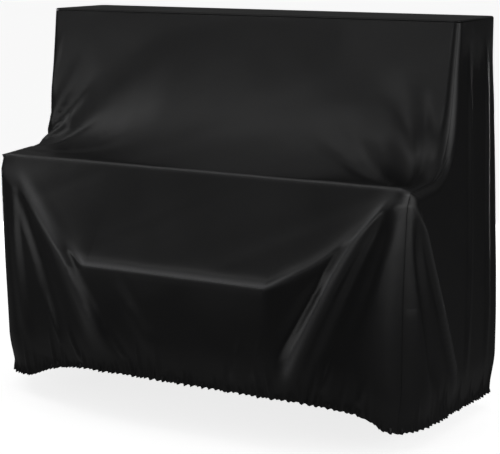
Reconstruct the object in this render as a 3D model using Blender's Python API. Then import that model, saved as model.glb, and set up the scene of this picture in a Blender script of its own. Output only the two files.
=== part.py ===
"""A fitted dust cover for an upright piano with its bench pushed up to it.

Five cut cloth pieces are sewn into one hollow bag, open underneath: a flat top panel, a front
panel that runs down the piano, out over the keyboard lid, out again over the bench and down to
the hem, two side panels cut to the piano's stepped outline, and a back panel. An elastic in the
hem draws the cloth in at the foot. The piano and the bench themselves are not part of the model.

The frame is in metres: +X to the right as seen from the front, -Y towards the front, +Z up. The
origin is the middle of the underside of the top panel, where the cover rests on the piano's lid.
"""
import bpy
import bmesh
import numpy as np

# Cloth and seams.
CLOTH = 0.002               # modelled thickness of the cloth
SEAM_GAP = 0.0012           # clear width between two sewn pieces
SEAM_REACH = 0.14           # share of a side panel over which it bends to meet a seam
TOP_ROLL = 0.005            # how far the top panel rolls over the lid's edge before its seam

# What the cover is cut to fit.
TOP_WIDTH = 1.500           # over the piano's lid, left to right
TOP_DEPTH = 0.286           # over the piano's lid, front to back
CHEEK_DEPTH = 0.205         # foot of the upper front, forward of the origin
CHEEK_DROP = 0.445          # foot of the upper front, below the top
EDGE_DEPTH = 0.467          # front edge of the keyboard lid
EDGE_DROP = 0.462
BENCH_DEPTH = 0.667         # front edge of the bench
BENCH_DROP = 0.750
BENCH_LEFT = -0.262
BENCH_RIGHT = 0.388
HEM_DROP = 1.206            # hem at the sides and back
HEM_DROP_MIDDLE = 1.096     # hem under the bench, where the cloth is held out

# How the cloth turns its edges.
BACK_CORNER = 0.022         # radius of the two upright corners at the back
BENCH_CORNER = 0.010        # softness of the creases at the bench's two corners
CORNER_REACH = 0.060        # how far the rounding of the keyboard lid's corners reaches
CORNER_BLEND = 4            # how tightly the lid's and the skirt's rounding meet at their corner
HEM_PULL = 0.012            # how far the elastic draws the hem in
HEM_PULL_HEIGHT = 0.140
BACK_BELLY = 0.012          # how far the back panel stands off the piano half way down

ROUTE_STEPS = 40            # steps along a fold's route
LEAN_TURN = 4.0             # how quickly a leaning fold changes flank at its crest

FRONT = -TOP_DEPTH / 2
BACK = TOP_DEPTH / 2
HALF_WIDTH = TOP_WIDTH / 2
QUARTER_TURN_INSET = 1 - np.sqrt(0.5)      # where a round corner is split by its seam, in radii

# The front upright corners, by height: how far forward and sideways the two panels would meet
# if they were not rounded, and the radius that rounds them.
CORNER = [
    ("z", "depth", "width", "radius"),
    (0.000, 0.143, 0.750, 0.022),
    (-0.462, 0.467, 0.754, 0.048),
    (-0.580, 0.482, 0.758, 0.070),
    (-0.750, 0.497, 0.764, 0.105),
    (-0.900, 0.506, 0.770, 0.135),
    (-1.060, 0.506, 0.774, 0.155),
    (-1.206, 0.490, 0.774, 0.160),
]

# Half the cover's width at its back, by height.
BACK_WIDTH = [
    ("z", "width"),
    (0.000, 0.750),
    (-0.100, 0.751),
    (-0.300, 0.761),
    (-0.580, 0.774),
    (-0.970, 0.786),
    (-1.206, 0.787),
]

# Height of the front hem across the cover.
FRONT_HEM = [
    ("x", "z"),
    (-0.76, -1.206),
    (-0.70, -1.192),
    (-0.60, -1.181),
    (-0.55, -1.163),
    (-0.50, -1.142),
    (-0.44, -1.124),
    (-0.38, -1.112),
    (-0.30, -1.101),
    (0.00, -1.096),
    (0.40, -1.096),
    (0.48, -1.103),
    (0.60, -1.120),
    (0.65, -1.130),
    (0.69, -1.154),
    (0.72, -1.189),
    (0.76, -1.206),
]

# How the upper front cuts across the corner between the piano's front and its keyboard lid: the
# share of each of the two stretches over which the cloth hangs free, and how tightly it is drawn
# across, where 1 is straight.
HOLLOW = [
    ("x", "up", "out", "tight"),
    (-0.76, 0.20, 0.30, 0.00),
    (-0.68, 0.30, 0.42, 0.00),
    (-0.50, 0.58, 0.68, 0.10),
    (-0.22, 0.88, 0.92, 0.32),
    (0.08, 0.95, 0.965, 0.42),
    (0.34, 0.92, 0.95, 0.36),
    (0.55, 0.75, 0.82, 0.18),
    (0.68, 0.55, 0.62, 0.04),
    (0.76, 0.45, 0.45, 0.00),
]

# The tent over the bench. Its lip is level along the bench's edge, then a crease that climbs to
# the two ends of the keyboard lid. Close above its lip it flattens: "lay" is the share of its
# reach that lies flatter, and "turn" is how suddenly it turns to do so. "soft" is the width of
# the crease between the tent and the cloth that hangs from it.
TENT_LIP = [
    ("x", "z", "lay", "turn", "soft"),
    (-0.77, -0.480, 0.04, 6.0, 0.030),
    (-0.60, -0.548, 0.04, 6.0, 0.050),
    (-0.42, -0.655, 0.05, 8.0, 0.045),
    (-0.31, -0.719, 0.07, 14.0, 0.025),
    (-0.268, -0.748, 0.10, 34.0, 0.014),
    (-0.262, -0.750, 0.11, 36.0, 0.013),
    (0.382, -0.750, 0.11, 36.0, 0.013),
    (0.388, -0.748, 0.11, 34.0, 0.013),
    (0.434, -0.723, 0.10, 24.0, 0.012),
    (0.494, -0.692, 0.10, 16.0, 0.012),
    (0.540, -0.660, 0.10, 10.0, 0.012),
    (0.62, -0.585, 0.10, 7.0, 0.015),
    (0.70, -0.505, 0.08, 6.0, 0.020),
    (0.77, -0.480, 0.05, 6.0, 0.020),
]

# Folds. Each runs from its head through its middle to its foot; a negative height is a trough.
# A fold leans when its two flanks differ in width, and it is sharp when its crest is a crease.
# The fades are the shares of its length over which it rises and dies away.
# On the upper front the places are x and the distance down the cloth from the top seam.
FOLD = ("head", "middle", "foot", "head_width", "foot_width", "height", "lean", "sharp",
        "head_fade", "foot_fade")
UPPER_FOLDS = [
    FOLD,
    ((-0.70, 0.03), (-0.725, 0.18), (-0.755, 0.35), 0.022, 0.018, 0.005, 0.0, 0.4, 0.40, 0.10),
    ((-0.61, 0.12), (-0.68, 0.29), (-0.755, 0.43), 0.050, 0.018, 0.009, 0.3, 0.3, 0.60, 0.08),
    ((-0.54, 0.18), (-0.64, 0.31), (-0.755, 0.44), 0.045, 0.018, -0.009, 0.0, 0.0, 0.60, 0.08),
    ((-0.51, 0.24), (-0.62, 0.355), (-0.750, 0.47), 0.045, 0.016, 0.008, 0.3, 0.3, 0.60, 0.08),
    ((-0.43, 0.28), (-0.59, 0.41), (-0.730, 0.53), 0.055, 0.018, -0.009, 0.0, 0.0, 0.60, 0.10),
    ((-0.26, 0.46), (-0.48, 0.54), (-0.690, 0.61), 0.050, 0.020, -0.005, 0.0, 0.0, 0.60, 0.20),
    ((0.50, 0.12), (0.60, 0.37), (0.690, 0.63), 0.100, 0.026, -0.019, 0.0, 0.0, 0.70, 0.06),
    ((0.34, 0.26), (0.52, 0.42), (0.685, 0.63), 0.060, 0.020, 0.007, -0.3, 0.2, 0.70, 0.06),
    ((0.28, 0.33), (0.46, 0.45), (0.665, 0.62), 0.055, 0.020, -0.005, 0.0, 0.0, 0.70, 0.08),
    ((0.63, 0.10), (0.675, 0.34), (0.715, 0.59), 0.050, 0.020, 0.004, 0.2, 0.2, 0.60, 0.08),
]

# On the hanging front the places are x and z.
LOWER_FOLDS = [
    FOLD,
    ((-0.685, -0.47), (-0.370, -0.735), (-0.160, -1.06), 0.034, 0.065, 0.020, -0.2, 0.1, 0.20, 0.22),
    ((-0.66, -0.50), (-0.605, -0.83), (-0.560, -1.08), 0.034, 0.055, 0.009, 0.0, 0.1, 0.40, 0.25),
    ((-0.66, -0.52), (-0.48, -0.78), (-0.37, -1.03), 0.032, 0.060, -0.007, 0.0, 0.0, 0.30, 0.35),
    ((-0.50, -0.62), (-0.26, -0.87), (-0.09, -1.08), 0.020, 0.045, -0.005, 0.0, 0.0, 0.40, 0.25),
    ((-0.17, -0.76), (-0.065, -0.91), (0.010, -1.02), 0.035, 0.055, 0.006, 0.0, 0.0, 0.50, 0.35),
    ((-0.47, -0.87), (-0.425, -0.96), (-0.390, -1.05), 0.014, 0.020, 0.006, 0.0, 0.3, 0.50, 0.30),
    ((-0.37, -0.95), (-0.335, -1.02), (-0.310, -1.09), 0.012, 0.018, 0.006, 0.0, 0.3, 0.50, 0.25),
    ((-0.20, -0.92), (-0.155, -0.99), (-0.125, -1.05), 0.014, 0.020, 0.006, 0.0, 0.3, 0.50, 0.30),
    ((0.31, -0.90), (0.28, -0.98), (0.250, -1.07), 0.016, 0.022, 0.006, 0.0, 0.3, 0.50, 0.30),
    ((0.38, -0.88), (0.35, -0.97), (0.320, -1.06), 0.016, 0.022, 0.005, 0.0, 0.3, 0.50, 0.30),
    ((0.70, -0.468), (0.555, -0.745), (0.410, -1.09), 0.020, 0.040, 0.022, -0.3, 0.25, 0.12, 0.15),
    ((0.705, -0.49), (0.615, -0.740), (0.480, -1.10), 0.030, 0.060, -0.011, 0.5, 0.0, 0.25, 0.25),
    ((0.56, -0.70), (0.49, -0.82), (0.420, -0.98), 0.030, 0.050, -0.012, 0.0, 0.0, 0.40, 0.45),
    ((0.57, -0.95), (0.55, -1.01), (0.530, -1.08), 0.014, 0.020, 0.006, 0.0, 0.3, 0.50, 0.30),
    ((0.66, -1.01), (0.645, -1.06), (0.625, -1.11), 0.012, 0.018, 0.005, 0.0, 0.3, 0.50, 0.30),
]

# On the sides the places are y and z.
RIGHT_FOLDS = [
    FOLD,
    ((-0.445, -0.50), (-0.315, -0.79), (-0.165, -1.15), 0.016, 0.032, 0.016, 0.2, 0.4, 0.20, 0.15),
    ((-0.44, -0.53), (-0.395, -0.80), (-0.300, -1.13), 0.018, 0.055, -0.013, 0.0, 0.0, 0.30, 0.20),
    ((-0.067, -0.06), (-0.067, -0.60), (-0.110, -1.14), 0.020, 0.024, 0.008, 0.0, 0.7, 0.25, 0.20),
    ((0.078, -0.05), (0.062, -0.60), (0.052, -1.14), 0.018, 0.024, 0.008, 0.0, 0.7, 0.25, 0.20),
]
LEFT_FOLDS = [
    FOLD,
    ((-0.44, -0.51), (-0.28, -0.84), (-0.12, -1.17), 0.018, 0.038, 0.014, 0.3, 0.5, 0.20, 0.15),
    ((-0.41, -0.54), (-0.36, -0.84), (-0.26, -1.15), 0.020, 0.060, -0.014, 0.0, 0.0, 0.30, 0.20),
    ((-0.10, -0.18), (-0.03, -0.74), (-0.01, -1.14), 0.020, 0.028, 0.008, 0.0, 0.5, 0.30, 0.20),
    ((0.03, -0.08), (0.08, -0.52), (0.06, -1.12), 0.018, 0.026, 0.007, 0.0, 0.5, 0.30, 0.20),
]

# On the back the places are x and z.
BACK_FOLDS = [
    FOLD,
    ((-0.72, -0.03), (-0.57, -0.55), (-0.50, -1.16), 0.025, 0.070, 0.012, 0.2, 0.3, 0.30, 0.15),
    ((-0.66, -0.10), (-0.48, -0.60), (-0.40, -1.14), 0.030, 0.060, -0.009, 0.0, 0.0, 0.40, 0.20),
    ((-0.20, -0.20), (-0.17, -0.75), (-0.21, -1.16), 0.040, 0.060, 0.010, 0.0, 0.2, 0.50, 0.20),
    ((0.25, -0.14), (0.20, -0.70), (0.23, -1.16), 0.040, 0.060, 0.011, 0.0, 0.2, 0.50, 0.20),
    ((0.66, -0.08), (0.52, -0.58), (0.46, -1.14), 0.030, 0.060, -0.009, 0.0, 0.0, 0.40, 0.20),
    ((0.72, -0.03), (0.60, -0.52), (0.57, -1.16), 0.025, 0.070, 0.012, -0.2, 0.3, 0.30, 0.15),
]

# Where the rows of the upper front reach the back seam, by their share of the way down it. The
# rows fan out behind the keyboard lid.
BACK_ROWS = [
    ("row", "z"),
    (0.00, -0.0054),
    (0.30, -0.1600),
    (0.60, -0.3200),
    (1.00, -0.7600),
]

# How finely each panel is divided, by stretches: where a stretch ends and its number of spans.
# Front columns run over -1 to 1 from seam to seam, the other columns and the rows over 0 to 1.
FRONT_COLUMNS = [(-0.96, 2), (-0.20, 17), (0.48, 9), (0.96, 20), (1.00, 2)]
SIDE_COLUMNS = [(0.08, 2), (0.92, 9), (1.00, 1)]
BACK_COLUMNS = [(0.03, 1), (0.97, 9), (1.00, 1)]
UPPER_ROWS = [(0.50, 4), (1.00, 8)]
BENCH_ROW = (BENCH_DROP - EDGE_DROP) / (HEM_DROP_MIDDLE - EDGE_DROP)
LOWER_ROWS = [(BENCH_ROW, 5), (0.86, 5), (1.00, 3)]
TOP_COLUMNS = [(-0.98, 2), (0.98, 14), (1.00, 2)]
TOP_ROWS = [(-0.92, 2), (0.92, 3), (1.00, 2)]

CLOTH_COLOUR = (0.012, 0.012, 0.013, 1.0)
CLOTH_ROUGHNESS = 0.42


def stations(start, stretches):
    """Divide a line into stretches, each in its own number of equal spans."""
    places = [start]
    for end, spans in stretches:
        begin = places[-1]
        places += [begin + (end - begin) * k / spans for k in range(1, spans + 1)]
    return np.array(places)


def ease(share):
    """Turn 0 to 1 into a smooth start and stop."""
    share = np.clip(share, 0.0, 1.0)
    return share * share * (3.0 - 2.0 * share)


def soft_min(a, b, softness):
    """The lesser of two depths, with the crease between them rounded."""
    share = np.clip(0.5 + 0.5 * (b - a) / softness, 0.0, 1.0)
    return b + (a - b) * share - softness * share * (1.0 - share)


def read(table, name, at):
    """Read one named column of a table at any place along its first column, by a smooth curve
    that never overshoots its rows."""
    place = table[0].index(name)
    rows = sorted(table[1:])
    knots = np.array([row[0] for row in rows])
    values = np.array([row[place] for row in rows])
    rises = np.diff(values) / np.diff(knots)
    slopes = np.concatenate([rises, rises[-1:]])
    for k in range(1, len(rises)):
        before, after = rises[k - 1], rises[k]
        slopes[k] = 2 * before * after / (before + after) if before * after > 0 else 0.0
    at = np.clip(at, knots[0], knots[-1])
    span = np.clip(np.searchsorted(knots, at, side="right") - 1, 0, len(knots) - 2)
    length = knots[span + 1] - knots[span]
    share = (at - knots[span]) / length
    rest = 1 - share
    start = values[span] * (1 + 2 * share) * rest ** 2 + slopes[span] * length * share * rest ** 2
    end = values[span + 1] * (3 - 2 * share) * share ** 2
    return start + end - slopes[span + 1] * length * rest * share ** 2


def round_inset(distance, radius):
    """How far a rounded corner lies inside its sharp one, at a distance from the sharp corner."""
    inside = np.clip(radius - distance, 0.0, radius)
    return radius - np.sqrt(radius * radius - inside * inside)


def relief(folds, across, down):
    """Height of the folds over surface points given by their two coordinates."""
    height = np.zeros(across.shape)
    share = np.linspace(0.0, 1.0, ROUTE_STEPS + 1)
    for row in folds[1:]:
        fold = dict(zip(folds[0], row))
        head = np.array(fold["head"])
        foot = np.array(fold["foot"])
        bend = 2 * np.array(fold["middle"]) - (head + foot) / 2
        route = (np.outer((1 - share) ** 2, head) + np.outer(2 * share * (1 - share), bend)
                 + np.outer(share ** 2, foot))
        way = np.gradient(route, axis=0)
        speed = np.hypot(way[:, 0], way[:, 1])
        off_across = across[..., None] - route[:, 0]
        off_down = down[..., None] - route[:, 1]
        nearest = np.argmin(np.hypot(off_across, off_down), axis=-1)
        off_across = across - route[nearest, 0]
        off_down = down - route[nearest, 1]
        way = way[nearest]
        speed = speed[nearest]
        beside = (off_down * way[..., 0] - off_across * way[..., 1]) / speed
        ahead = (off_across * way[..., 0] + off_down * way[..., 1]) / speed ** 2
        along = np.clip((nearest + ahead) / ROUTE_STEPS, 0.0, 1.0)
        width = fold["head_width"] + (fold["foot_width"] - fold["head_width"]) * along
        width = width * (1 + fold["lean"] * np.tanh(beside / width * LEAN_TURN))
        reach = np.clip(np.abs(beside) / width, 0.0, 1.0)
        round_crest = np.cos(np.pi / 2 * reach) ** 2
        bump = round_crest + fold["sharp"] * ((1 - reach) ** 2 - round_crest)
        rise = ease(along / fold["head_fade"]) * ease((1 - along) / fold["foot_fade"])
        height += fold["height"] * rise * bump
    return height


def hem_pull(z, hem):
    """How far the elastic draws the cloth in, at a height above the hem."""
    return HEM_PULL * ease((hem + HEM_PULL_HEIGHT - z) / HEM_PULL_HEIGHT)


def upper_profile(x, rows):
    """Side view of the upper front at one x: y and z at shares of its length."""
    top = np.array([FRONT, -TOP_ROLL - SEAM_GAP])
    cheek = np.array([-CHEEK_DEPTH, -CHEEK_DROP])
    edge = np.array([-EDGE_DEPTH, -EDGE_DROP])
    leave = cheek + (top - cheek) * read(HOLLOW, "up", x)
    land = cheek + (edge - cheek) * read(HOLLOW, "out", x)
    bend = cheek + ((leave + land) / 2 - cheek) * read(HOLLOW, "tight", x)
    share = np.linspace(0.0, 1.0, 80)[:, None]
    arc = (1 - share) ** 2 * leave + 2 * share * (1 - share) * bend + share ** 2 * land
    line = np.vstack([top, arc, edge])
    length = np.concatenate([[0.0], np.cumsum(np.hypot(*np.diff(line, axis=0).T))])
    at = rows * length[-1]
    return np.interp(at, length, line[:, 0]), np.interp(at, length, line[:, 1])


def lower_depth(x, z, hem):
    """How far the hanging front stands forward: the tent over the bench and its two flanks."""
    corner_depth = read(CORNER, "depth", z)
    corner_width = read(CORNER, "width", z)
    lip = read(TENT_LIP, "z", x)
    lip_width = read(CORNER, "width", lip)
    lip_corner = read(CORNER, "depth", lip)
    beyond = np.maximum((BENCH_LEFT - x) / (lip_width + BENCH_LEFT),
                        (x - BENCH_RIGHT) / (lip_width - BENCH_RIGHT))
    lip_depth = BENCH_DEPTH + (lip_corner - BENCH_DEPTH) * np.clip(beyond, 0, 1)
    fall = np.clip((-EDGE_DROP - z) / (-EDGE_DROP - lip), 0, 1.5)
    reach = fall + read(TENT_LIP, "lay", x) * (fall ** read(TENT_LIP, "turn", x) - fall)
    tent = EDGE_DEPTH + (lip_depth - EDGE_DEPTH) * reach
    hang = BENCH_DEPTH - 0.03 * np.clip((-BENCH_DROP - z) / (HEM_DROP_MIDDLE - BENCH_DROP), 0, 1)
    left = hang + (corner_depth - hang) * (BENCH_LEFT - x) / (corner_width + BENCH_LEFT)
    right = hang + (corner_depth - hang) * (x - BENCH_RIGHT) / (corner_width - BENCH_RIGHT)
    flank = soft_min(soft_min(left, right, BENCH_CORNER), hang, BENCH_CORNER)
    flank = flank + relief(LOWER_FOLDS, x, z)
    return soft_min(tent, flank, read(TENT_LIP, "soft", x)) - hem_pull(z, hem)


def square_inward(points):
    """Unit directions in the side view, square to the rows' run and into the cover."""
    along = np.gradient(points[:, :, 1:], axis=0)
    along = along / np.linalg.norm(along, axis=2)[:, :, None]
    return np.stack([-along[:, :, 1], along[:, :, 0]], axis=2)


def front_points(columns, upper_rows, lower_rows):
    """The front panel's inner face: an array of rows, columns and coordinates."""
    upper = len(upper_rows)
    points = np.zeros((upper + len(lower_rows) - 1, len(columns), 3))
    for k, across in enumerate(columns):
        y, z = upper_profile(across * HALF_WIDTH, upper_rows)
        hem = read(FRONT_HEM, "z", across * HALF_WIDTH)
        z = np.concatenate([z, -EDGE_DROP + (hem + EDGE_DROP) * lower_rows[1:]])
        radius = read(CORNER, "radius", z)
        width = read(CORNER, "width", z) - hem_pull(z, hem)
        x = across * (width - QUARTER_TURN_INSET * radius)
        y = np.concatenate([y, -lower_depth(x[upper:], z[upper:], hem)])
        points[:, k] = np.stack([x, y, z], axis=1)

    lower_inward = square_inward(points[upper - 1:])
    inward = np.concatenate([square_inward(points[:upper]), lower_inward[1:]])
    steps = np.linalg.norm(np.diff(points, axis=0), axis=2)
    down = np.vstack([np.zeros(len(columns)), np.cumsum(steps, axis=0)])
    lift = np.zeros(points.shape[:2])
    lift[:upper] = relief(UPPER_FOLDS, points[:upper, :, 0], down[:upper])

    # Where the keyboard lid's corner is rounded too, both faces draw in together.
    near = np.clip(1 - np.abs(down - down[upper - 1]) / CORNER_REACH, 0, 1) ** 2
    other = np.zeros(inward.shape)
    other[:upper] = lower_inward[0]
    other[upper:] = inward[upper - 1]
    radius = read(CORNER, "radius", points[:, :, 2])
    edge = np.abs(points[:, -1:, 0]) + QUARTER_TURN_INSET * radius[:, -1:]
    inset = round_inset(edge - np.abs(points[:, :, 0]), radius)
    points[:, :, 1:] += inset[:, :, None] * (inward + near[:, :, None] * other)
    points[:, :, 1:] -= lift[:, :, None] * inward
    return points


def back_points(columns, heights):
    """The back panel's inner face, from the right-hand seam to the left-hand one."""
    z = np.repeat(heights[:, None], len(columns), axis=1)
    pull = hem_pull(z, -HEM_DROP)
    width = read(BACK_WIDTH, "width", z) - pull
    x = (1 - 2 * columns) * (width - QUARTER_TURN_INSET * BACK_CORNER)
    inset = round_inset(width - np.abs(x), BACK_CORNER)
    belly = BACK_BELLY * np.sin(np.pi * np.clip(-z / HEM_DROP, 0, 1)) * np.cos(x / width * np.pi / 2)
    y = BACK + belly - pull - inset + relief(BACK_FOLDS, x, z)
    return np.stack([x, y, z], axis=2)


def side_points(side, columns, front_seam, back_seam, corner_row, folds):
    """A side panel's inner face, from its front seam to its back one. The front seam turns down
    at the keyboard lid's corner, which is in corner_row."""
    share = columns[None, :, None]
    flat = front_seam[:, None, 1:] * (1 - share) + back_seam[:, None, 1:] * share
    y = flat[:, :, 0]
    z = flat[:, :, 1]
    forward = np.clip((BACK - y) / (BACK + EDGE_DEPTH), 0, 1)
    width = read(CORNER, "width", z) * forward + read(BACK_WIDTH, "width", z) * (1 - forward)
    width = width - hem_pull(z, -HEM_DROP) + relief(folds, y, z)

    # Round the panel over along its stepped front outline and down its back edge.
    radius = read(CORNER, "radius", front_seam[:, 2])[:, None]
    gap = np.hypot(y[..., None] - front_seam[:, 1], z[..., None] - front_seam[:, 2])
    gap = gap + (QUARTER_TURN_INSET * radius)[..., None]
    above = round_inset(gap[..., :corner_row].min(axis=-1), radius)
    below = round_inset(gap[..., corner_row:].min(axis=-1), radius)
    width = width - (above ** CORNER_BLEND + below ** CORNER_BLEND) ** (1 / CORNER_BLEND)
    to_back = back_seam[:, None, 1] + QUARTER_TURN_INSET * BACK_CORNER - y
    width = width - round_inset(to_back, BACK_CORNER)

    # Meet both seams exactly.
    front_miss = np.abs(front_seam[:, 0]) - width[:, 0]
    back_miss = np.abs(back_seam[:, 0]) - width[:, -1]
    width = width + front_miss[:, None] * (1 - ease(columns / SEAM_REACH))
    width = width + back_miss[:, None] * ease((columns - 1 + SEAM_REACH) / SEAM_REACH)
    return np.stack([side * width, y, z], axis=2)


def top_points(columns, rows):
    """The top panel's inner face: flat, with round corners, rolled over all round its edge."""
    y, x = np.meshgrid(rows * BACK, columns * HALF_WIDTH, indexing="ij")
    corner = read(CORNER, "radius", 0.0)
    over_x = np.clip(np.abs(x) - (HALF_WIDTH - corner), 0, corner)
    over_y = np.clip(np.abs(y) - (BACK - corner), 0, corner)
    reach = np.hypot(over_x, over_y)
    squeeze = np.where(reach > 0, np.maximum(over_x, over_y) / np.maximum(reach, 1e-9), 1.0)
    x = np.sign(x) * (np.abs(x) - over_x * (1 - squeeze))
    y = np.sign(y) * (np.abs(y) - over_y * (1 - squeeze))
    to_edge = np.minimum(corner - np.maximum(over_x, over_y), np.minimum(HALF_WIDTH - abs(x), BACK - abs(y)))
    inside = np.clip(TOP_ROLL - to_edge, 0, TOP_ROLL)
    z = np.sqrt(TOP_ROLL ** 2 - inside ** 2) - TOP_ROLL
    return np.stack([x, y, z], axis=2)


def part_from_seam(points):
    """Draw a skirt panel back from the seams at its two ends, square to each, by half the gap."""
    for seam, neighbour in ((0, 1), (-1, -2)):
        along = np.gradient(points[:, seam], axis=0)
        along = along / np.linalg.norm(along, axis=1)[:, None]
        way = points[:, neighbour] - points[:, seam]
        way = way - along * np.sum(way * along, axis=1)[:, None]
        way = way / np.linalg.norm(way, axis=1)[:, None]
        points[:, seam] += way * SEAM_GAP / 2
    return points


def cloth_material(name):
    """Black woven cloth with a soft sheen."""
    material = bpy.data.materials.new(name)
    material.use_nodes = True
    shader = material.node_tree.nodes["Principled BSDF"]
    shader.inputs["Base Color"].default_value = CLOTH_COLOUR
    shader.inputs["Roughness"].default_value = CLOTH_ROUGHNESS
    shader.inputs["Metallic"].default_value = 0.0
    return material


def make_panel(name, points):
    """Lay a grid of cloth over an array of points and give it its thickness, outwards."""
    rows, columns = points.shape[:2]
    mesh = bpy.data.meshes.new(name)
    grid = bmesh.new()
    bmesh.ops.create_grid(grid, x_segments=columns - 1, y_segments=rows - 1, size=0.5)
    for vertex in grid.verts:
        column = round((vertex.co.x + 0.5) * (columns - 1))
        row = round((0.5 - vertex.co.y) * (rows - 1))
        vertex.co = points[row, column]
    bmesh.ops.triangulate(grid, faces=grid.faces)
    grid.to_mesh(mesh)
    grid.free()
    mesh.shade_smooth()
    mesh.materials.append(cloth_material(name + "_cloth"))
    panel = bpy.data.objects.new(name, mesh)
    bpy.context.collection.objects.link(panel)
    solid = panel.modifiers.new("thickness", "SOLIDIFY")
    solid.thickness = CLOTH
    solid.offset = 1.0
    return panel


def build():
    """Model the five panels."""
    for old in list(bpy.data.objects):
        bpy.data.objects.remove(old, do_unlink=True)

    upper_rows = stations(0.0, UPPER_ROWS)
    lower_rows = stations(0.0, LOWER_ROWS)
    front = front_points(stations(-1.0, FRONT_COLUMNS), upper_rows, lower_rows)

    heights = read(BACK_ROWS, "z", upper_rows)
    heights = np.concatenate([heights, heights[-1] + (-HEM_DROP - heights[-1]) * lower_rows[1:]])
    back = back_points(stations(0.0, BACK_COLUMNS), heights)

    side_columns = stations(0.0, SIDE_COLUMNS)
    corner = len(upper_rows)
    right = side_points(1, side_columns, front[:, -1], back[:, 0], corner, RIGHT_FOLDS)
    left = side_points(-1, side_columns, front[:, 0], back[:, -1], corner, LEFT_FOLDS)

    make_panel("top_panel", top_points(stations(-1.0, TOP_COLUMNS), stations(-1.0, TOP_ROWS))[::-1])
    make_panel("front_panel", part_from_seam(front))
    make_panel("right_side_panel", part_from_seam(right))
    make_panel("back_panel", part_from_seam(back))
    make_panel("left_side_panel", part_from_seam(left[:, ::-1]))


build()
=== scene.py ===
"""The finished look of the fitted cover for an upright piano and its bench.

The cover is five cloth panels sewn into a hollow bag. This script lays each panel as a fine sheet
over the frame's solid, with its folds, its gathered hem, its seams and their stitches, and gives
it the cloth's finish. The piano and the bench are not part of it, so the bag is empty. Everything
is in metres, with +X to the right, -Y towards the front, +Z up and the origin under the middle of
the top panel.
"""

import math

import bmesh
import bpy
import numpy as np
from mathutils import Matrix, Vector


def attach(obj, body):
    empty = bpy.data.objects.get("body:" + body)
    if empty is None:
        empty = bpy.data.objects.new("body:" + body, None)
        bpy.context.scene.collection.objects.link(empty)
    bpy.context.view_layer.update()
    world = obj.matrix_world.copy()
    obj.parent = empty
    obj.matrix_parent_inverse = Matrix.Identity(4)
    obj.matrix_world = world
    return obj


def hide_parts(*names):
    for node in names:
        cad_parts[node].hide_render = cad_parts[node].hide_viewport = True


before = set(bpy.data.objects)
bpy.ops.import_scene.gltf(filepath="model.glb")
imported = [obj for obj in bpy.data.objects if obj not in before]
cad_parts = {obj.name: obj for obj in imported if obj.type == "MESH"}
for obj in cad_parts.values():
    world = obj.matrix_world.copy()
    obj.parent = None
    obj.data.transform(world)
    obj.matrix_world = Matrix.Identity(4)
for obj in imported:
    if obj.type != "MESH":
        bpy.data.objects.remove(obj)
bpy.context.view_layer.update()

# Cloth and seams.
SHEET = 0.0011              # thickness of the finished cloth
GROOVE = 0.0002             # how deep the cloth dips into an upright seam
GROOVE_WIDTH = 0.0035
SEAM_GAP = 0.0012           # clear width between two sewn pieces
SEAM_REACH = 0.14           # share of a side panel over which it bends to meet a seam
TOP_ROLL = 0.005            # how far the top panel rolls over the lid's edge before its seam

# What the cover is cut to fit.
TOP_WIDTH = 1.500           # over the piano's lid, left to right
TOP_DEPTH = 0.286           # over the piano's lid, front to back
CHEEK_DEPTH = 0.205         # foot of the upper front, forward of the origin
CHEEK_DROP = 0.445          # foot of the upper front, below the top
EDGE_DEPTH = 0.467          # front edge of the keyboard lid
EDGE_DROP = 0.462
BENCH_DEPTH = 0.667         # front edge of the bench
BENCH_DROP = 0.750
BENCH_LEFT = -0.262
BENCH_RIGHT = 0.388
HEM_DROP = 1.206            # hem at the sides and back
HEM_DROP_MIDDLE = 1.096     # hem under the bench, where the cloth is held out

# How the cloth turns its edges.
BACK_CORNER = 0.022         # radius of the two upright corners at the back
BENCH_CORNER = 0.010        # softness of the creases at the bench's two corners
TENT_SAG = 0.12             # how much the tent over the bench hollows between its two edges
HANG_LEAN = 0.030           # how far the cloth below the bench's edge leans in, down to the hem
CORNER_REACH = 0.060        # how far the rounding of the keyboard lid's corners reaches
CORNER_BLEND = 4            # how tightly the lid's and the skirt's rounding meet at their corner
HEM_PULL = 0.012            # how far the elastic draws the hem in
HEM_PULL_HEIGHT = 0.140
BACK_BELLY = 0.012          # how far the back panel stands off the piano half way down

ROUTE_STEPS = 40            # steps along a fold's route
LEAN_TURN = 4.0             # how quickly a leaning fold changes flank at its crest

FRONT = -TOP_DEPTH / 2
BACK = TOP_DEPTH / 2
HALF_WIDTH = TOP_WIDTH / 2
QUARTER_TURN_INSET = 1 - np.sqrt(0.5)      # where a round corner is split by its seam, in radii

# The front upright corners, by height: how far forward and sideways the two panels would meet
# if they were not rounded, and the radius that rounds them.
CORNER = [
    ("z", "depth", "width", "radius"),
    (0.000, 0.143, 0.750, 0.022),
    (-0.462, 0.467, 0.754, 0.048),
    (-0.580, 0.482, 0.758, 0.070),
    (-0.750, 0.497, 0.764, 0.105),
    (-0.900, 0.506, 0.770, 0.135),
    (-1.060, 0.506, 0.774, 0.155),
    (-1.206, 0.490, 0.774, 0.160),
]

# Half the cover's width at its back, by height.
BACK_WIDTH = [
    ("z", "width"),
    (0.000, 0.750),
    (-0.100, 0.751),
    (-0.300, 0.761),
    (-0.580, 0.774),
    (-0.970, 0.786),
    (-1.206, 0.787),
]

# Height of the front hem across the cover.
FRONT_HEM = [
    ("x", "z"),
    (-0.76, -1.206),
    (-0.70, -1.192),
    (-0.60, -1.181),
    (-0.55, -1.163),
    (-0.50, -1.142),
    (-0.44, -1.124),
    (-0.38, -1.112),
    (-0.30, -1.101),
    (0.00, -1.096),
    (0.40, -1.096),
    (0.48, -1.103),
    (0.60, -1.120),
    (0.65, -1.130),
    (0.69, -1.154),
    (0.72, -1.189),
    (0.76, -1.206),
]

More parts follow.
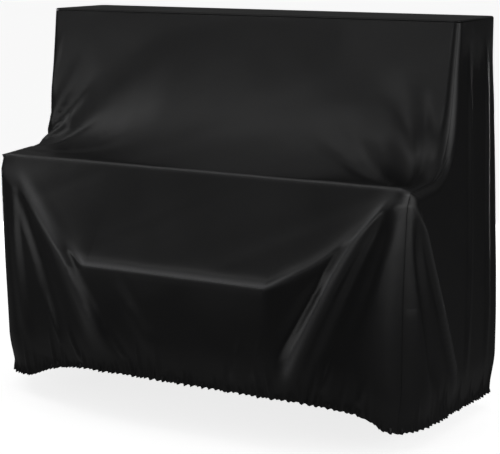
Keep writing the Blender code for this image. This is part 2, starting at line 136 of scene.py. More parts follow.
# How the upper front cuts across the corner between the piano's front and its keyboard lid: the
# share of each of the two stretches over which the cloth hangs free, and how tightly it is drawn
# across, where 1 is straight.
HOLLOW = [
    ("x", "up", "out", "tight"),
    (-0.76, 0.20, 0.30, 0.00),
    (-0.68, 0.30, 0.42, 0.00),
    (-0.50, 0.58, 0.68, 0.10),
    (-0.22, 0.88, 0.92, 0.32),
    (0.08, 0.95, 0.965, 0.42),
    (0.34, 0.92, 0.95, 0.36),
    (0.55, 0.75, 0.82, 0.18),
    (0.68, 0.55, 0.62, 0.04),
    (0.76, 0.45, 0.45, 0.00),
]

# The tent over the bench. Its lip is level along the bench's edge, then a crease that climbs to
# the two ends of the keyboard lid. Close above its lip it flattens: "lay" is the share of its
# reach that lies flatter, and "turn" is how suddenly it turns to do so. "soft" is the width of
# the crease between the tent and the cloth that hangs from it.
TENT_LIP = [
    ("x", "z", "lay", "turn", "soft"),
    (-0.77, -0.480, 0.04, 6.0, 0.030),
    (-0.60, -0.548, 0.04, 6.0, 0.050),
    (-0.42, -0.655, 0.05, 8.0, 0.045),
    (-0.31, -0.719, 0.07, 14.0, 0.025),
    (-0.268, -0.748, 0.10, 34.0, 0.014),
    (-0.262, -0.750, 0.11, 36.0, 0.013),
    (0.382, -0.750, 0.11, 36.0, 0.013),
    (0.388, -0.748, 0.11, 34.0, 0.013),
    (0.434, -0.723, 0.10, 24.0, 0.012),
    (0.494, -0.692, 0.10, 16.0, 0.012),
    (0.540, -0.660, 0.10, 10.0, 0.012),
    (0.62, -0.585, 0.10, 7.0, 0.015),
    (0.70, -0.505, 0.08, 6.0, 0.020),
    (0.77, -0.480, 0.05, 6.0, 0.020),
]

# Folds. Each runs from its head through its middle to its foot; a negative height is a trough.
# A fold leans when its two flanks differ in width, and it is sharp when its crest is a crease.
# The fades are the shares of its length over which it rises and dies away.
# On the upper front the places are x and the distance down the cloth from the top seam.
FOLD = ("head", "middle", "foot", "head_width", "foot_width", "height", "lean", "sharp",
        "head_fade", "foot_fade")
UPPER_FOLDS = [
    FOLD,
    ((-0.70, 0.03), (-0.725, 0.18), (-0.755, 0.35), 0.022, 0.018, 0.005, 0.0, 0.4, 0.40, 0.10),
    ((-0.61, 0.12), (-0.68, 0.29), (-0.755, 0.43), 0.050, 0.018, 0.009, 0.3, 0.3, 0.60, 0.08),
    ((-0.54, 0.18), (-0.64, 0.31), (-0.755, 0.44), 0.045, 0.018, -0.009, 0.0, 0.0, 0.60, 0.08),
    ((-0.51, 0.24), (-0.62, 0.355), (-0.750, 0.47), 0.045, 0.016, 0.008, 0.3, 0.3, 0.60, 0.08),
    ((-0.43, 0.28), (-0.59, 0.41), (-0.730, 0.53), 0.055, 0.018, -0.009, 0.0, 0.0, 0.60, 0.10),
    ((-0.26, 0.46), (-0.48, 0.54), (-0.690, 0.61), 0.050, 0.020, -0.005, 0.0, 0.0, 0.60, 0.20),
    ((0.52, 0.14), (0.63, 0.39), (0.705, 0.63), 0.095, 0.034, -0.020, 0.0, 0.0, 0.70, 0.06),
    ((0.34, 0.26), (0.52, 0.42), (0.685, 0.63), 0.060, 0.020, 0.007, -0.3, 0.2, 0.70, 0.06),
    ((0.28, 0.33), (0.46, 0.45), (0.665, 0.62), 0.055, 0.020, -0.005, 0.0, 0.0, 0.70, 0.08),
    ((0.63, 0.10), (0.675, 0.34), (0.715, 0.59), 0.050, 0.020, 0.004, 0.2, 0.2, 0.60, 0.08),
]

# On the hanging front the places are x and z.
LOWER_FOLDS = [
    FOLD,
    ((-0.685, -0.47), (-0.370, -0.735), (-0.160, -1.06), 0.034, 0.065, 0.020, -0.2, 0.1, 0.20, 0.22),
    ((-0.66, -0.50), (-0.605, -0.83), (-0.560, -1.08), 0.034, 0.055, 0.009, 0.0, 0.1, 0.40, 0.25),
    ((-0.66, -0.52), (-0.48, -0.78), (-0.37, -1.03), 0.032, 0.060, -0.007, 0.0, 0.0, 0.30, 0.35),
    ((-0.50, -0.62), (-0.26, -0.87), (-0.09, -1.08), 0.020, 0.045, -0.005, 0.0, 0.0, 0.40, 0.25),
    ((-0.17, -0.76), (-0.065, -0.91), (0.010, -1.02), 0.035, 0.055, 0.006, 0.0, 0.0, 0.50, 0.35),
    ((-0.47, -0.87), (-0.425, -0.96), (-0.390, -1.05), 0.014, 0.020, 0.006, 0.0, 0.3, 0.50, 0.30),
    ((-0.37, -0.95), (-0.335, -1.02), (-0.310, -1.09), 0.012, 0.018, 0.006, 0.0, 0.3, 0.50, 0.25),
    ((-0.20, -0.92), (-0.155, -0.99), (-0.125, -1.05), 0.014, 0.020, 0.006, 0.0, 0.3, 0.50, 0.30),
    ((0.31, -0.90), (0.28, -0.98), (0.250, -1.07), 0.016, 0.022, 0.006, 0.0, 0.3, 0.50, 0.30),
    ((0.38, -0.88), (0.35, -0.97), (0.320, -1.06), 0.016, 0.022, 0.005, 0.0, 0.3, 0.50, 0.30),
    ((0.70, -0.468), (0.555, -0.745), (0.410, -1.09), 0.020, 0.040, 0.022, -0.3, 0.25, 0.12, 0.15),
    ((0.705, -0.49), (0.615, -0.740), (0.480, -1.10), 0.030, 0.060, -0.011, 0.5, 0.0, 0.25, 0.25),
    ((0.56, -0.70), (0.49, -0.82), (0.420, -0.98), 0.030, 0.050, -0.012, 0.0, 0.0, 0.40, 0.45),
    ((0.57, -0.95), (0.55, -1.01), (0.530, -1.08), 0.014, 0.020, 0.006, 0.0, 0.3, 0.50, 0.30),
    ((0.66, -1.01), (0.645, -1.06), (0.625, -1.11), 0.012, 0.018, 0.005, 0.0, 0.3, 0.50, 0.30),
]

# On the sides the places are y and z.
RIGHT_FOLDS = [
    FOLD,
    ((-0.445, -0.50), (-0.315, -0.79), (-0.165, -1.15), 0.016, 0.032, 0.016, 0.2, 0.4, 0.20, 0.15),
    ((-0.44, -0.53), (-0.395, -0.80), (-0.300, -1.13), 0.018, 0.055, -0.013, 0.0, 0.0, 0.30, 0.20),
    ((-0.067, -0.06), (-0.067, -0.60), (-0.110, -1.14), 0.024, 0.030, 0.006, 0.0, 0.3, 0.25, 0.20),
    ((0.078, -0.05), (0.062, -0.60), (0.052, -1.14), 0.022, 0.030, 0.006, 0.0, 0.3, 0.25, 0.20),
]
LEFT_FOLDS = [
    FOLD,
    ((-0.44, -0.51), (-0.28, -0.84), (-0.12, -1.17), 0.018, 0.038, 0.014, 0.3, 0.5, 0.20, 0.15),
    ((-0.41, -0.54), (-0.36, -0.84), (-0.26, -1.15), 0.020, 0.060, -0.014, 0.0, 0.0, 0.30, 0.20),
    ((-0.10, -0.18), (-0.03, -0.74), (-0.01, -1.14), 0.020, 0.028, 0.008, 0.0, 0.5, 0.30, 0.20),
    ((0.03, -0.08), (0.08, -0.52), (0.06, -1.12), 0.018, 0.026, 0.007, 0.0, 0.5, 0.30, 0.20),
]

# On the back the places are x and z.
BACK_FOLDS = [
    FOLD,
    ((-0.72, -0.03), (-0.57, -0.55), (-0.50, -1.16), 0.025, 0.070, 0.012, 0.2, 0.3, 0.30, 0.15),
    ((-0.66, -0.10), (-0.48, -0.60), (-0.40, -1.14), 0.030, 0.060, -0.009, 0.0, 0.0, 0.40, 0.20),
    ((-0.20, -0.20), (-0.17, -0.75), (-0.21, -1.16), 0.040, 0.060, 0.010, 0.0, 0.2, 0.50, 0.20),
    ((0.25, -0.14), (0.20, -0.70), (0.23, -1.16), 0.040, 0.060, 0.011, 0.0, 0.2, 0.50, 0.20),
    ((0.66, -0.08), (0.52, -0.58), (0.46, -1.14), 0.030, 0.060, -0.009, 0.0, 0.0, 0.40, 0.20),
    ((0.72, -0.03), (0.60, -0.52), (0.57, -1.16), 0.025, 0.070, 0.012, -0.2, 0.3, 0.30, 0.15),
]

# Where the rows of the upper front reach the back seam, by their share of the way down it. The
# rows fan out behind the keyboard lid.
BACK_ROWS = [
    ("row", "z"),
    (0.00, -0.0054),
    (0.30, -0.1600),
    (0.60, -0.3200),
    (1.00, -0.7600),
]

# The hem's small gathers, which the elastic makes. Every fourth or so is tall and wide. A pair
# of numbers is the least and the most.
GATHER_PITCH = 0.0190       # mean distance between two gathers
GATHER_STEP = (0.60, 1.35)  # the distance to the next, in pitches
GATHER_WIDTH = (0.28, 0.50)  # half its width, in pitches
GATHER_HEIGHT = 0.0085
GATHER_SHARE = (0.50, 1.15)  # its height, as a share of that
GATHER_REACH = (0.022, 0.060)  # how far up the cloth it runs
GATHER_LEAN = 0.15          # how far it leans sideways as it climbs
GATHER_TALL = 0.24          # the share of tall ones
TALL_WIDTH = 1.5            # how much wider they are
TALL_REACH = (0.07, 0.16)
GATHER_DIP = 0.0035         # how far the hem's edge rises between two gathers
GATHER_DIP_REACH = 0.03
GATHER_START = 0.012        # how far from an upright seam the first one stands
GATHER_FADE = 0.02          # how far from an upright seam they reach their full height

# The stitches round the top seam.
STITCH_ROW = 3              # the row of each skirt panel that carries them
STITCH_PITCH = 0.0046
STITCH = (0.0015, 0.00045, 0.00035)  # half a stitch's length, width and height
STITCH_SEGMENTS = 6
STITCH_RINGS = 4

# The cloth's uneven drape: the height of each slow wave and its run in x, y and z, in turns a
# metre. Each is bent by a slower wave along itself.
WAVES = [
    (0.0005, (3.1, 1.4, 2.2)),
    (0.0004, (-2.3, 3.0, 3.9)),
    (0.00018, (6.7, -2.1, 1.3)),
    (0.00012, (-5.2, 6.0, 7.4)),
]
WAVE_BEND = 1.3
WAVE_BEND_RUN = 0.4
WAVE_CLEAR_SIDE = 0.10      # the shares of a panel over which the waves grow from its seams
WAVE_CLEAR_TOP = 0.06

# The finish: along a crease the cloth is painted paler, a painted highlight, and made glossier.
CREST_WIDTH = 0.008         # half the width of the painted highlight and the gloss along a crease
CREST_EDGE = 0.55           # how strongly the painted highlight and gloss show over the keyboard lid's edge,
CREST_CLIMB = 0.15          # along the creases that climb from the bench's edge, where it is 1,
CREST_FADE = 0.10           # which is how far past the bench's corners it takes to fade,
CREST_FOLD = 0.75           # and over a tall fold's crest
CREST_FOLD_HEIGHT = 0.020   # how tall that fold is
CLOTH_TONE = (0.0085, 0.0085, 0.0090, 1.0)
# painted highlight: the pale colour laid along the creases in place of light caught there
PAINTED_HIGHLIGHT_TONE = (0.120, 0.120, 0.123, 1.0)
TONE_CHANGE = 0.2           # how much paler or darker its slubs are
CLOTH_ROUGHNESS = 0.37
CLOTH_ROUGHNESS_CHANGE = 0.03
CREST_ROUGHNESS = 0.28
WEAVE_PITCH = 0.0016        # across one pair of threads
THREAD_TONE = (0.016, 0.016, 0.017, 1.0)
THREAD_ROUGHNESS = (0.38, 0.55)

# How finely each panel is divided, by stretches: where a stretch ends and its number of spans.
# Front and top columns and top rows run over -1 to 1 from seam to seam, the others over 0 to 1.
FRONT_COLUMNS = [(-0.9985, 2), (-0.994, 2), (-0.93, 14), (0.93, 296), (0.994, 14), (0.9985, 2),
                 (1.0, 2)]
SIDE_COLUMNS = [(0.003, 2), (0.010, 3), (0.12, 16), (0.95, 110), (0.992, 8), (0.998, 2),
                (1.0, 2)]
BACK_COLUMNS = [(0.0015, 2), (0.004, 2), (0.03, 8), (0.97, 290), (0.996, 8), (0.9985, 2),
                (1.0, 2)]
UPPER_ROWS = [(0.006, 3), (0.60, 14), (0.96, 20), (1.00, 6)]
BENCH_ROW = (BENCH_DROP - EDGE_DROP) / (HEM_DROP_MIDDLE - EDGE_DROP)
LOWER_ROWS = [(0.05, 6), (BENCH_ROW - 0.06, 30), (BENCH_ROW + 0.02, 28), (0.88, 14), (1.00, 22)]
TOP_COLUMNS = [(-0.995, 8), (-0.96, 8), (0.96, 120), (0.995, 8), (1.00, 8)]
TOP_ROWS = [(-0.97, 8), (-0.85, 6), (0.85, 24), (0.97, 6), (1.00, 8)]

# The studio. The floor is a little under the hem, which the elastic holds clear of it.
FLOOR_DROP = 1.256
FLOOR_SIZE = 60.0
FLOOR_PAINT = (0.85, 0.85, 0.85, 1.0)
FLOOR_GLOW = 0.80
# Room tones run from straight down at 0, over the horizon at 0.5, to straight up at 1. They light
# the cover; what shows behind it is one pale tone.
ROOM_TONES = [(0.15, 0.16), (0.35, 0.06), (0.50, 0.01), (0.65, 0.11), (0.81, 0.07), (0.90, 0.25)]
ROOM_BEHIND = (0.98, 0.98, 0.98, 1.0)
# The soft lights. COVER and FOOT are what they look at.
COVER = (0.0, -0.2, -0.6)
FOOT = (0.0, 0.0, -0.7)
SOFTBOXES = [
    ("name", "place", "target", "size", "spread", "power"),
    ("strip_over_front", (0.0, -0.85, 0.80), COVER, (2.6, 0.5), 180.0, 2.2),
    ("upper_wash", (-0.2, -2.6, 0.6), (-0.2, -0.2, -0.08), (1.6, 0.5), 38.0, 0.42),
    ("low_front", (-1.1, -3.2, -0.32), COVER, (1.4, 1.0), 180.0, 5.0),
    ("low_left", (-2.45, -2.25, -0.32), COVER, (1.4, 1.0), 180.0, 4.8),
    ("high_left", (-2.7, -0.7, 1.1), COVER, (1.4, 1.0), 180.0, 3.8),
    ("low_right", (3.0, -1.3, -0.3), COVER, (1.8, 1.2), 180.0, 9.5),
    ("side_right", (3.2, -0.25, -0.1), COVER, (1.4, 1.6), 180.0, 7.0),
    ("back", (-0.3, 3.2, -0.70), FOOT, (2.4, 1.1), 180.0, 26.0),
    ("back_left", (-2.7, 2.0, -0.90), FOOT, (1.6, 0.7), 180.0, 18.0),
    ("rim", (0.0, 1.8, 2.0), COVER, (2.4, 1.0), 180.0, 0.08),
]

# The camera, by what it looks at and its angles in degrees, to the right and up.
CAMERA_AIM = (0.0, -0.091, -0.702)
CAMERA_AZIMUTH = 30.31
CAMERA_ELEVATION = 10.61
CAMERA_DISTANCE = 5.226
CAMERA_LENS = 113.7
CAMERA_SENSOR = 36.0


def stations(start, stretches):
    """Divide a line into stretches, each in its own number of equal spans."""
    places = [start]
    for end, spans in stretches:
        begin = places[-1]
        places += [begin + (end - begin) * k / spans for k in range(1, spans + 1)]
    return np.array(places)


def ease(share):
    """Turn 0 to 1 into a smooth start and stop."""
    share = np.clip(share, 0.0, 1.0)
    return share * share * (3.0 - 2.0 * share)


def soft_min(a, b, softness):
    """The lesser of two depths, with the crease between them rounded."""
    share = np.clip(0.5 + 0.5 * (b - a) / softness, 0.0, 1.0)
    return b + (a - b) * share - softness * share * (1.0 - share)


def read(table, name, at):
    """Read one named column of a table at any place along its first column, by a smooth curve
    that never overshoots its rows."""
    place = table[0].index(name)
    rows = sorted(table[1:])
    knots = np.array([row[0] for row in rows])
    values = np.array([row[place] for row in rows])
    rises = np.diff(values) / np.diff(knots)
    slopes = np.concatenate([rises, rises[-1:]])
    for k in range(1, len(rises)):
        before, after = rises[k - 1], rises[k]
        slopes[k] = 2 * before * after / (before + after) if before * after > 0 else 0.0
    at = np.clip(at, knots[0], knots[-1])
    span = np.clip(np.searchsorted(knots, at, side="right") - 1, 0, len(knots) - 2)
    length = knots[span + 1] - knots[span]
    share = (at - knots[span]) / length
    rest = 1 - share
    start = values[span] * (1 + 2 * share) * rest ** 2 + slopes[span] * length * share * rest ** 2
    end = values[span + 1] * (3 - 2 * share) * share ** 2
    return start + end - slopes[span + 1] * length * rest * share ** 2


def round_inset(distance, radius):
    """How far a rounded corner lies inside its sharp one, at a distance from the sharp corner."""
    inside = np.clip(radius - distance, 0.0, radius)
    return radius - np.sqrt(radius * radius - inside * inside)


def relief(folds, across, down):
    """Height of the folds over surface points given by their two coordinates."""
    height = np.zeros(across.shape)
    share = np.linspace(0.0, 1.0, ROUTE_STEPS + 1)
    for row in folds[1:]:
        fold = dict(zip(folds[0], row))
        head = np.array(fold["head"])
        foot = np.array(fold["foot"])
        bend = 2 * np.array(fold["middle"]) - (head + foot) / 2
        route = (np.outer((1 - share) ** 2, head) + np.outer(2 * share * (1 - share), bend)
                 + np.outer(share ** 2, foot))
        way = np.gradient(route, axis=0)
        speed = np.hypot(way[:, 0], way[:, 1])
        off_across = across[..., None] - route[:, 0]
        off_down = down[..., None] - route[:, 1]
        nearest = np.argmin(np.hypot(off_across, off_down), axis=-1)
        off_across = across - route[nearest, 0]
        off_down = down - route[nearest, 1]
        way = way[nearest]
        speed = speed[nearest]
        beside = (off_down * way[..., 0] - off_across * way[..., 1]) / speed
        ahead = (off_across * way[..., 0] + off_down * way[..., 1]) / speed ** 2
        along = np.clip((nearest + ahead) / ROUTE_STEPS, 0.0, 1.0)
        width = fold["head_width"] + (fold["foot_width"] - fold["head_width"]) * along
        width = width * (1 + fold["lean"] * np.tanh(beside / width * LEAN_TURN))
        reach = np.clip(np.abs(beside) / width, 0.0, 1.0)
        round_crest = np.cos(np.pi / 2 * reach) ** 2
        bump = round_crest + fold["sharp"] * ((1 - reach) ** 2 - round_crest)
        rise = ease(along / fold["head_fade"]) * ease((1 - along) / fold["foot_fade"])
        height += fold["height"] * rise * bump
    return height


def hem_pull(z, hem):
    """How far the elastic draws the cloth in, at a height above the hem."""
    return HEM_PULL * ease((hem + HEM_PULL_HEIGHT - z) / HEM_PULL_HEIGHT)


def upper_profile(x, rows):
    """Side view of the upper front at one x: y and z at shares of its length."""
    top = np.array([FRONT, -TOP_ROLL - SEAM_GAP])
    cheek = np.array([-CHEEK_DEPTH, -CHEEK_DROP])
    edge = np.array([-EDGE_DEPTH, -EDGE_DROP])
    leave = cheek + (top - cheek) * read(HOLLOW, "up", x)
    land = cheek + (edge - cheek) * read(HOLLOW, "out", x)
    bend = cheek + ((leave + land) / 2 - cheek) * read(HOLLOW, "tight", x)
    share = np.linspace(0.0, 1.0, 80)[:, None]
    arc = (1 - share) ** 2 * leave + 2 * share * (1 - share) * bend + share ** 2 * land
    line = np.vstack([top, arc, edge])
    length = np.concatenate([[0.0], np.cumsum(np.hypot(*np.diff(line, axis=0).T))])
    at = rows * length[-1]
    return np.interp(at, length, line[:, 0]), np.interp(at, length, line[:, 1])


def lower_depth(x, z, hem):
    """How far the hanging front stands forward: the tent over the bench and its two flanks."""
    corner_depth = read(CORNER, "depth", z)
    corner_width = read(CORNER, "width", z)
    lip = read(TENT_LIP, "z", x)
    lip_width = read(CORNER, "width", lip)
    lip_corner = read(CORNER, "depth", lip)
    beyond = np.maximum((BENCH_LEFT - x) / (lip_width + BENCH_LEFT),
                        (x - BENCH_RIGHT) / (lip_width - BENCH_RIGHT))
    lip_depth = BENCH_DEPTH + (lip_corner - BENCH_DEPTH) * np.clip(beyond, 0, 1)
    fall = np.clip((-EDGE_DROP - z) / (-EDGE_DROP - lip), 0, 1.5)
    reach = fall + read(TENT_LIP, "lay", x) * (fall ** read(TENT_LIP, "turn", x) - fall)
    inside = np.clip(fall, 0, 1)
    reach = reach - TENT_SAG * inside * (1 - inside)
    tent = EDGE_DEPTH + (lip_depth - EDGE_DEPTH) * reach
    under = np.clip((-BENCH_DROP - z) / (HEM_DROP_MIDDLE - BENCH_DROP), 0, 1)
    hang = BENCH_DEPTH - HANG_LEAN * under ** 2
    left = hang + (corner_depth - hang) * (BENCH_LEFT - x) / (corner_width + BENCH_LEFT)
    right = hang + (corner_depth - hang) * (x - BENCH_RIGHT) / (corner_width - BENCH_RIGHT)
    flank = soft_min(soft_min(left, right, BENCH_CORNER), hang, BENCH_CORNER)
    flank = flank + relief(LOWER_FOLDS, x, z)
    return soft_min(tent, flank, read(TENT_LIP, "soft", x)) - hem_pull(z, hem)


def square_inward(points):
    """Unit directions in the side view, square to the rows' run and into the cover."""
    along = np.gradient(points[:, :, 1:], axis=0)
    along = along / np.linalg.norm(along, axis=2)[:, :, None]
    return np.stack([-along[:, :, 1], along[:, :, 0]], axis=2)


def front_points(columns, upper_rows, lower_rows):
    """The front panel's inner face: an array of rows, columns and coordinates."""
    upper = len(upper_rows)
    points = np.zeros((upper + len(lower_rows) - 1, len(columns), 3))
    for k, across in enumerate(columns):
        y, z = upper_profile(across * HALF_WIDTH, upper_rows)
        hem = read(FRONT_HEM, "z", across * HALF_WIDTH)
        z = np.concatenate([z, -EDGE_DROP + (hem + EDGE_DROP) * lower_rows[1:]])
        radius = read(CORNER, "radius", z)
        width = read(CORNER, "width", z) - hem_pull(z, hem)
        x = across * (width - QUARTER_TURN_INSET * radius)
        y = np.concatenate([y, -lower_depth(x[upper:], z[upper:], hem)])
        points[:, k] = np.stack([x, y, z], axis=1)

    lower_inward = square_inward(points[upper - 1:])
    inward = np.concatenate([square_inward(points[:upper]), lower_inward[1:]])
    steps = np.linalg.norm(np.diff(points, axis=0), axis=2)
    down = np.vstack([np.zeros(len(columns)), np.cumsum(steps, axis=0)])
    lift = np.zeros(points.shape[:2])
    lift[:upper] = relief(UPPER_FOLDS, points[:upper, :, 0], down[:upper])

    # Where the keyboard lid's corner is rounded too, both faces draw in together.
    near = np.clip(1 - np.abs(down - down[upper - 1]) / CORNER_REACH, 0, 1) ** 2
    other = np.zeros(inward.shape)
    other[:upper] = lower_inward[0]
    other[upper:] = inward[upper - 1]
    radius = read(CORNER, "radius", points[:, :, 2])
    edge = np.abs(points[:, -1:, 0]) + QUARTER_TURN_INSET * radius[:, -1:]
    inset = round_inset(edge - np.abs(points[:, :, 0]), radius)
    points[:, :, 1:] += inset[:, :, None] * (inward + near[:, :, None] * other)
    points[:, :, 1:] -= lift[:, :, None] * inward
    return points


def back_points(columns, heights):
    """The back panel's inner face, from the right-hand seam to the left-hand one."""
    z = np.repeat(heights[:, None], len(columns), axis=1)
    pull = hem_pull(z, -HEM_DROP)
    width = read(BACK_WIDTH, "width", z) - pull
    x = (1 - 2 * columns) * (width - QUARTER_TURN_INSET * BACK_CORNER)
    inset = round_inset(width - np.abs(x), BACK_CORNER)
    belly = BACK_BELLY * np.sin(np.pi * np.clip(-z / HEM_DROP, 0, 1))
    belly = belly * np.cos(x / width * np.pi / 2)
    y = BACK + belly - pull - inset + relief(BACK_FOLDS, x, z)
    return np.stack([x, y, z], axis=2)


def side_points(side, columns, front_seam, back_seam, corner_row, folds):
    """A side panel's inner face, from its front seam to its back one. The front seam turns down
    at the keyboard lid's corner, which is in corner_row."""
    share = columns[None, :, None]
    flat = front_seam[:, None, 1:] * (1 - share) + back_seam[:, None, 1:] * share
    y = flat[:, :, 0]
    z = flat[:, :, 1]
    forward = np.clip((BACK - y) / (BACK + EDGE_DEPTH), 0, 1)
    width = read(CORNER, "width", z) * forward + read(BACK_WIDTH, "width", z) * (1 - forward)
    width = width - hem_pull(z, -HEM_DROP) + relief(folds, y, z)

    # Round the panel over along its stepped front outline and down its back edge.
    radius = read(CORNER, "radius", front_seam[:, 2])[:, None]
    gap = np.hypot(y[..., None] - front_seam[:, 1], z[..., None] - front_seam[:, 2])
    gap = gap + (QUARTER_TURN_INSET * radius)[..., None]
    above = round_inset(gap[..., :corner_row].min(axis=-1), radius)
    below = round_inset(gap[..., corner_row:].min(axis=-1), radius)
    width = width - (above ** CORNER_BLEND + below ** CORNER_BLEND) ** (1 / CORNER_BLEND)
    to_back = back_seam[:, None, 1] + QUARTER_TURN_INSET * BACK_CORNER - y
    width = width - round_inset(to_back, BACK_CORNER)

    # Meet both seams exactly.
    front_miss = np.abs(front_seam[:, 0]) - width[:, 0]
    back_miss = np.abs(back_seam[:, 0]) - width[:, -1]
    width = width + front_miss[:, None] * (1 - ease(columns / SEAM_REACH))
    width = width + back_miss[:, None] * ease((columns - 1 + SEAM_REACH) / SEAM_REACH)
    return np.stack([side * width, y, z], axis=2)


def top_points(columns, rows):
    """The top panel's inner face: flat, with round corners, rolled over all round its edge."""
    y, x = np.meshgrid(rows * BACK, columns * HALF_WIDTH, indexing="ij")
    corner = read(CORNER, "radius", 0.0)
    over_x = np.clip(np.abs(x) - (HALF_WIDTH - corner), 0, corner)
    over_y = np.clip(np.abs(y) - (BACK - corner), 0, corner)
    reach = np.hypot(over_x, over_y)
    squeeze = np.where(reach > 0, np.maximum(over_x, over_y) / np.maximum(reach, 1e-9), 1.0)
    x = np.sign(x) * (np.abs(x) - over_x * (1 - squeeze))
    y = np.sign(y) * (np.abs(y) - over_y * (1 - squeeze))
    to_side = np.minimum(HALF_WIDTH - np.abs(x), BACK - np.abs(y))
    to_edge = np.minimum(corner - np.maximum(over_x, over_y), to_side)
    inside = np.clip(TOP_ROLL - to_edge, 0, TOP_ROLL)
    z = np.sqrt(TOP_ROLL ** 2 - inside ** 2) - TOP_ROLL
    return np.stack([x, y, z], axis=2)


def inward_normals(points):
    """Unit normals into the cover, at every point of a panel."""
    normal = np.cross(np.gradient(points, axis=1), np.gradient(points, axis=0))
    return normal / np.linalg.norm(normal, axis=2)[:, :, None]


def crest_line(distance, width):
    """How strongly the painted highlight and the gloss show, at a distance from a crease."""
    return np.exp(-(distance / width) ** 2)


def fold_crests(folds, across, down):
    """How strongly the folds' crests get the painted highlight and the gloss."""
    return CREST_FOLD * np.clip(relief(folds, across, down) / CREST_FOLD_HEIGHT, 0.0, 1.0) ** 3


def front_crests(points, corner_row):
    """How strongly the front gets the painted highlight and the gloss: over the keyboard lid's edge,
    the bench's edge with the two creases that climb from it, and the crests of the hanging folds."""
    x = points[:, :, 0]
    z = points[:, :, 2]
    steps = np.linalg.norm(np.diff(points, axis=0), axis=2)
    down = np.vstack([np.zeros(points.shape[1]), np.cumsum(steps, axis=0)])
    share = CREST_EDGE * crest_line(down - down[corner_row - 1], CREST_WIDTH)
    beyond = ease(np.maximum(BENCH_LEFT - x, x - BENCH_RIGHT) / CREST_FADE)
    width = CREST_WIDTH * (1 + beyond)
    lip = (1 + (CREST_CLIMB - 1) * beyond) * crest_line(z - read(TENT_LIP, "z", x), width)
    hanging = lip + fold_crests(LOWER_FOLDS, x, z)
    share[corner_row:] += hanging[corner_row:]
    return np.clip(share, 0.0, 1.0)


def uneven(points):
    """Add the slow waves of cloth that hangs a little slack, away from the panel's seams."""
    normal = inward_normals(points)
    wave = 0.0
    for height, run in WAVES:
        phase = 2 * np.pi * (points @ np.array(run))
        wave = wave + height * np.sin(phase + WAVE_BEND * np.sin(WAVE_BEND_RUN * phase))
    columns = points.shape[1]
    from_side = np.minimum(np.arange(columns), np.arange(columns)[::-1]) / columns
    from_top = np.arange(len(points)) / len(points)
    keep = ease(from_side / WAVE_CLEAR_SIDE)[None, :] * ease(from_top / WAVE_CLEAR_TOP)[:, None]
    return points + normal * (wave * keep)[:, :, None]


def seam_groove(points):
    """Dip a skirt panel's two upright edges into their seams."""
    spans = np.linalg.norm(np.diff(points, axis=1), axis=2)
    from_first = np.hstack([np.zeros((len(points), 1)), np.cumsum(spans, axis=1)])
    from_last = from_first[:, -1:] - from_first
    near = np.minimum(from_first, from_last)
    dip = GROOVE * np.clip(1 - near / GROOVE_WIDTH, 0, 1) ** 2
    return points + inward_normals(points) * dip[:, :, None]


def gather_hem(points, seed):
    """Press the hem's small upright gathers into a skirt panel's lowest rows."""
    rng = np.random.default_rng(seed)
    steps = np.linalg.norm(np.diff(points[-1], axis=0), axis=1)
    place = np.concatenate([[0.0], np.cumsum(steps)])
    rise = np.linalg.norm(points - points[-1:], axis=2)
    height = np.zeros(rise.shape)
    at = GATHER_START
    while at < place[-1] - GATHER_START:
        tall = rng.random() < GATHER_TALL
        width = GATHER_PITCH * rng.uniform(*GATHER_WIDTH) * (TALL_WIDTH if tall else 1.0)
        reach = rng.uniform(*(TALL_REACH if tall else GATHER_REACH))
        lift = GATHER_HEIGHT * rng.uniform(*GATHER_SHARE)
        lean = rng.uniform(-GATHER_LEAN, GATHER_LEAN)
        offset = (place[None, :] - at - lean * rise) / width
        bump = np.cos(np.pi / 2 * np.clip(offset, -1, 1)) ** 2
        height += lift * bump * (1 - ease(rise / reach))
        at += GATHER_PITCH * rng.uniform(*GATHER_STEP)
    grown = ease(place / GATHER_FADE) * ease((place[-1] - place) / GATHER_FADE)
    height = height * grown[None, :]
    low = 1 - ease(rise / GATHER_DIP_REACH)
    points = points - inward_normals(points) * height[:, :, None]
    points[:, :, 2] += low * (GATHER_DIP * grown[None, :] - height * GATHER_DIP / GATHER_HEIGHT)
    return points


def cloth_lengths(points):
    """Distances along the cloth across and down a panel, which are its flat cut's coordinates."""
    middle = points.shape[1] // 2
    across = np.linalg.norm(np.diff(points, axis=1), axis=2).mean(axis=0)
    down = np.linalg.norm(np.diff(points, axis=0), axis=2)[:, middle]
    return np.concatenate([[0.0], np.cumsum(across)]), np.concatenate([[0.0], np.cumsum(down)])


def add_piece(name, mesh, material):
    """Put a finished mesh in the scene, in its material and on the frame."""
    mesh.materials.append(material)
    piece = bpy.data.objects.new(name, mesh)
    bpy.context.collection.objects.link(piece)
    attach(piece, "root")
    return piece


def make_panel(name, points, painted_highlight_and_gloss, material):
    """Lay a fine sheet over an array of points, outer side out, and give it its thickness. The third
    argument is how strongly each point is painted paler, a painted highlight, and made glossier,
    which the finish reads."""
    rows, columns = points.shape[:2]
    across, down = cloth_lengths(points)
    mesh = bpy.data.meshes.new(name)
    grid = bmesh.new()
    bmesh.ops.create_grid(grid, x_segments=columns - 1, y_segments=rows - 1, size=0.5)
    cut = grid.loops.layers.uv.new("cut")
    crest = grid.verts.layers.float.new("crest")
    place = {}
    for vertex in grid.verts:
        column = round((vertex.co.x + 0.5) * (columns - 1))
        row = round((0.5 - vertex.co.y) * (rows - 1))
        place[vertex] = (across[column], -down[row])
        vertex.co = points[row, column]
        # strength of the painted highlight along creases, which also makes the cloth glossier there
        vertex[crest] = painted_highlight_and_gloss[row, column]
    for face in grid.faces:
        face.smooth = True
        for loop in face.loops:
            loop[cut].uv = place[loop.vert]
    grid.to_mesh(mesh)
    grid.free()
    panel = add_piece(name, mesh, material)
    solid = panel.modifiers.new("thickness", "SOLIDIFY")
    solid.thickness = SHEET
    solid.offset = 1.0
    return panel, (across[-1], down[-1])


